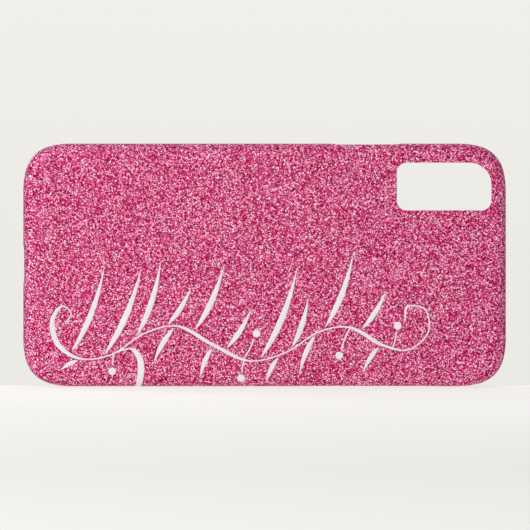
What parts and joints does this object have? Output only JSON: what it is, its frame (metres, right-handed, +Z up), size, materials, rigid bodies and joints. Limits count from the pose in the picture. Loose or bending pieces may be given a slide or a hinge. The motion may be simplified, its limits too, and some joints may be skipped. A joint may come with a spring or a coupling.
{
  "type": "phone case",
  "caption": "Slim clip-over hard case for a phone, with a glitter film round its back and sides, a printed leaf flourish, a camera window and side cutouts.",
  "frame": {"origin": "middle of the phone's seat, on the inside face of the case's back", "axes": "case standing on one long side: +X along it towards the camera end, +Y out of the open front, +Z up towards the side-button side"},
  "size_m": [0.146, 0.0097, 0.0735],
  "materials": {
    "shell_plastic": "fine satin, as moulded",
    "glitter_film": "pink glitter under a clear gloss coat",
    "white_ink": "opaque off-white ink, low gloss"
  },
  "bodies": {
    "root": {"hard_shell": "shell_plastic", "glitter_film": "glitter_film", "flourish_stem": "white_ink", "flourish_leaf_1": "white_ink", "flourish_leaf_2": "white_ink", "flourish_leaf_3": "white_ink", "flourish_leaf_4": "white_ink", "flourish_leaf_5": "white_ink", "flourish_leaf_6": "white_ink", "flourish_leaf_7": "white_ink", "flourish_leaf_8": "white_ink", "flourish_leaf_9": "white_ink", "flourish_leaf_10": "white_ink", "flourish_leaf_11": "white_ink", "flourish_leaf_12": "white_ink", "flourish_leaf_13": "white_ink", "flourish_leaf_14": "white_ink", "flourish_leaf_15": "white_ink", "flourish_leaf_16": "white_ink", "flourish_berry_1": "white_ink", "flourish_berry_2": "white_ink", "flourish_berry_3": "white_ink", "flourish_berry_4": "white_ink", "flourish_berry_5": "white_ink"}
  },
  "joints": []
}
